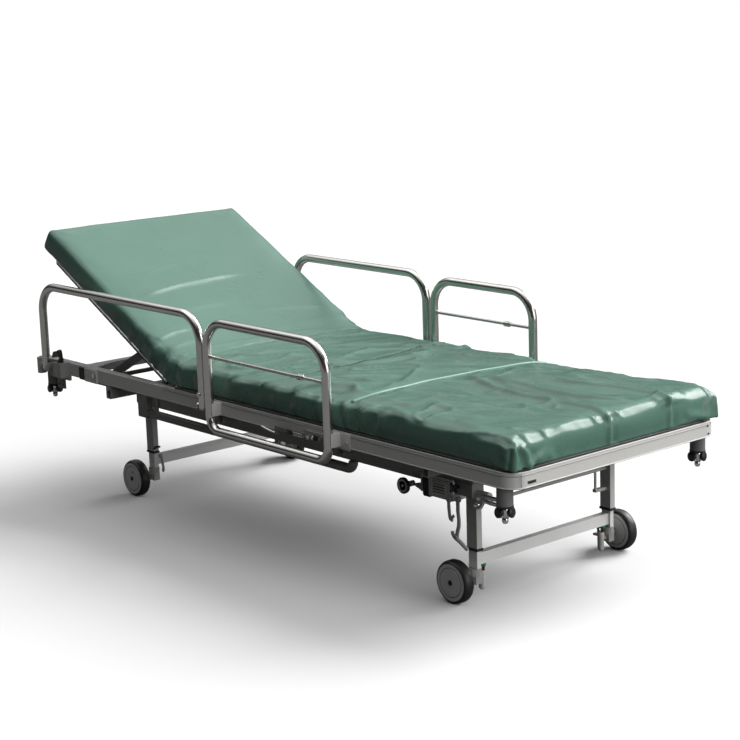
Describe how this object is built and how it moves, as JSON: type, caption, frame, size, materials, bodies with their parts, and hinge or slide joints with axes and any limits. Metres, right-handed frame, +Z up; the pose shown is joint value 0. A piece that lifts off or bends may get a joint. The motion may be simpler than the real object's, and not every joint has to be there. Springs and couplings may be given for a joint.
{
  "type": "stretcher trolley",
  "caption": "Low patient trolley: green vinyl mattress with raised backrest, tubular drop-side rails, steel deck on telescoping legs and swivel castors.",
  "frame": {"origin": "on the floor under the middle of the trolley's bounding box", "axes": "+X towards the foot end, +Y towards the far side, +Z up"},
  "size_m": [2.1, 0.828, 0.7885],
  "materials": {
    "pale_paint": "satin",
    "grey_paint": "satin",
    "bright_steel": "polished",
    "black_rubber": "matte",
    "black_plastic": "matte",
    "tyre": "matte",
    "hub_grey": "satin",
    "green_cover": "glossy vinyl"
  },
  "bodies": {
    "deck": {"deck_frame": "pale_paint", "under_rails": "grey_paint", "cross_tubes": "grey_paint", "lower_cross_tube": "grey_paint", "leg_sleeves": "grey_paint", "sleeve_seals": "black_rubber", "seat_panel": "pale_paint", "head_cross_member": "pale_paint", "hinge_rod": "bright_steel", "prop_racks": "grey_paint", "guard_bars": "grey_paint", "rail_blocks": "pale_paint", "rail_spacers": "black_rubber", "rail_bolts": "bright_steel", "head_brackets": "grey_paint", "pole_sockets": "bright_steel", "joint_brackets": "bright_steel", "loop_guides": "bright_steel", "latch_housings": "grey_paint", "gearbox": "grey_paint", "gearbox_vents": "pale_paint", "gearbox_seal": "black_rubber", "control_rod": "bright_steel", "lift_shaft": "bright_steel", "corner_stubs": "grey_paint", "corner_yokes": "bright_steel", "corner_discs": "black_plastic", "seat_mattress": "green_cover"},
    "backrest": {"back_frame": "grey_paint", "back_panel": "pale_paint", "back_mattress": "green_cover"},
    "prop": {"back_prop": "grey_paint"},
    "near_head_rail": {"head_rail_near": "bright_steel"},
    "far_head_rail": {"head_rail_far": "bright_steel"},
    "near_foot_rail": {"foot_rail_near": "bright_steel"},
    "far_foot_rail": {"foot_rail_far": "bright_steel"},
    "near_latch": {"latch_near": "bright_steel"},
    "far_latch": {"latch_far": "bright_steel"},
    "near_wing_knob": {"wing_knob_near": "black_plastic"},
    "far_wing_knob": {"wing_knob_far": "black_plastic"},
    "control_knob": {"control_knob": "bright_steel"},
    "clamp_knob": {"clamp_knob": "black_plastic"},
    "release_lever": {"release_lever": "grey_paint"},
    "foot_pedal": {"foot_pedal": "grey_paint"},
    "head_legs": {"head_posts": "pale_paint"},
    "foot_legs": {"foot_posts": "pale_paint"},
    "near_brake": {"brake_pedal_near": "grey_paint"},
    "far_brake": {"brake_pedal_far": "grey_paint"},
    "head_near_fork": {"fork_head_near": "grey_paint"},
    "head_near_wheel": {"wheel_head_near": "tyre", "hubs_head_near": "hub_grey"},
    "head_far_fork": {"fork_head_far": "grey_paint"},
    "head_far_wheel": {"wheel_head_far": "tyre", "hubs_head_far": "hub_grey"},
    "foot_near_fork": {"fork_foot_near": "grey_paint"},
    "foot_near_wheel": {"wheel_foot_near": "tyre", "hubs_foot_near": "hub_grey"},
    "foot_far_fork": {"fork_foot_far": "grey_paint"},
    "foot_far_wheel": {"wheel_foot_far": "tyre", "hubs_foot_far": "hub_grey"}
  },
  "joints": [
    {"name": "head_leg_lift", "type": "slide", "parent": "deck", "child": "head_legs", "axis": [0, 0, -1], "range_m": [0, 0.13]},
    {"name": "foot_leg_lift", "type": "slide", "parent": "deck", "child": "foot_legs", "axis": [0, 0, -1], "range_m": [0, 0.13]},
    {"name": "backrest_hinge", "type": "hinge", "parent": "deck", "child": "backrest", "pos_m": [-0.356, 0, 0.35], "axis": [0, 1, 0], "range_deg": [-27.5, 37.5]},
    {"name": "prop_hinge", "type": "hinge", "parent": "backrest", "child": "prop", "pos_m": [-0.56001, 0, 0.4562], "axis": [0, 1, 0], "range_deg": [-75, 55]},
    {"name": "near_head_rail_hinge", "type": "hinge", "parent": "deck", "child": "near_head_rail", "pos_m": [-0.96, -0.398, 0.372], "axis": [1, 0, 0], "range_deg": [0, 170]},
    {"name": "near_foot_rail_slide", "type": "slide", "parent": "deck", "child": "near_foot_rail", "axis": [0, 0, 1], "range_m": [-0.12, 0]},
    {"name": "near_latch_hinge", "type": "hinge", "parent": "deck", "child": "near_latch", "pos_m": [0.366, -0.38, 0.361], "axis": [0, 1, 0], "range_deg": [0, 18], "stiffness_Nm_per_rad": 0.6, "springref_deg": -28.65},
    {"name": "near_wing_screw", "type": "hinge", "parent": "deck", "child": "near_wing_knob", "pos_m": [-0.889, -0.39, 0.4], "axis": [0, 0, 1], "continuous": true},
    {"name": "far_head_rail_hinge", "type": "hinge", "parent": "deck", "child": "far_head_rail", "pos_m": [-0.705, 0.398, 0.372], "axis": [-1, 0, 0], "range_deg": [0, 170]},
    {"name": "far_foot_rail_slide", "type": "slide", "parent": "deck", "child": "far_foot_rail", "axis": [0, 0, 1], "range_m": [-0.12, 0]},
    {"name": "far_latch_hinge", "type": "hinge", "parent": "deck", "child": "far_latch", "pos_m": [0.315, 0.38, 0.361], "axis": [0, 1, 0], "range_deg": [0, 18], "stiffness_Nm_per_rad": 0.6, "springref_deg": -28.65},
    {"name": "far_wing_screw", "type": "hinge", "parent": "deck", "child": "far_wing_knob", "pos_m": [-0.634, 0.39, 0.4], "axis": [0, 0, 1], "continuous": true},
    {"name": "control_knob_turn", "type": "hinge", "parent": "deck", "child": "control_knob", "pos_m": [0.579, -0.28, 0.26], "axis": [0, 1, 0], "continuous": true},
    {"name": "clamp_knob_turn", "type": "hinge", "parent": "deck", "child": "clamp_knob", "pos_m": [0.758, -0.28, 0.286], "axis": [0, 1, 0], "continuous": true},
    {"name": "release_lever_hinge", "type": "hinge", "parent": "deck", "child": "release_lever", "pos_m": [0.739, -0.281, 0.254], "axis": [0, 1, 0], "range_deg": [-20, 20]},
    {"name": "foot_pedal_hinge", "type": "hinge", "parent": "deck", "child": "foot_pedal", "pos_m": [0.764, -0.27, 0.256], "axis": [0, 1, 0], "range_deg": [0, 12], "stiffness_Nm_per_rad": 1.5, "springref_deg": -17.19},
    {"name": "head_near_swivel", "type": "hinge", "parent": "head_legs", "child": "head_near_fork", "pos_m": [-0.626, -0.243, 0.07], "axis": [0, 0, 1], "range_deg": [-90, 90]},
    {"name": "head_near_wheel_spin", "type": "hinge", "parent": "head_near_fork", "child": "head_near_wheel", "pos_m": [-0.638, -0.3, 0.055], "axis": [0, 1, 0], "continuous": true},
    {"name": "head_far_swivel", "type": "hinge", "parent": "head_legs", "child": "head_far_fork", "pos_m": [-0.626, 0.243, 0.07], "axis": [0, 0, 1], "range_deg": [-90, 90]},
    {"name": "head_far_wheel_spin", "type": "hinge", "parent": "head_far_fork", "child": "head_far_wheel", "pos_m": [-0.638, 0.3, 0.055], "axis": [0, 1, 0], "continuous": true},
    {"name": "foot_near_swivel", "type": "hinge", "parent": "foot_legs", "child": "foot_near_fork", "pos_m": [0.787, -0.243, 0.07], "axis": [0, 0, 1], "range_deg": [-90, 90]},
    {"name": "foot_near_wheel_spin", "type": "hinge", "parent": "foot_near_fork", "child": "foot_near_wheel", "pos_m": [0.775, -0.3, 0.055], "axis": [0, 1, 0], "continuous": true},
    {"name": "foot_far_swivel", "type": "hinge", "parent": "foot_legs", "child": "foot_far_fork", "pos_m": [0.787, 0.243, 0.07], "axis": [0, 0, 1], "range_deg": [-90, 90]},
    {"name": "foot_far_wheel_spin", "type": "hinge", "parent": "foot_far_fork", "child": "foot_far_wheel", "pos_m": [0.775, 0.3, 0.055], "axis": [0, 1, 0], "continuous": true},
    {"name": "near_brake_pedal_hinge", "type": "hinge", "parent": "foot_near_fork", "child": "near_brake", "pos_m": [0.785, -0.222, 0.051], "axis": [0, 1, 0], "range_deg": [-10, 10]},
    {"name": "far_brake_pedal_hinge", "type": "hinge", "parent": "foot_far_fork", "child": "far_brake", "pos_m": [0.785, 0.222, 0.051], "axis": [0, 1, 0], "range_deg": [-10, 10]}
  ],
  "couplings": [
    {"joint": "foot_leg_lift", "follows": "head_leg_lift", "ratio": 1},
    {"joint": "prop_hinge", "follows": "backrest_hinge", "ratio": -2}
  ]
}
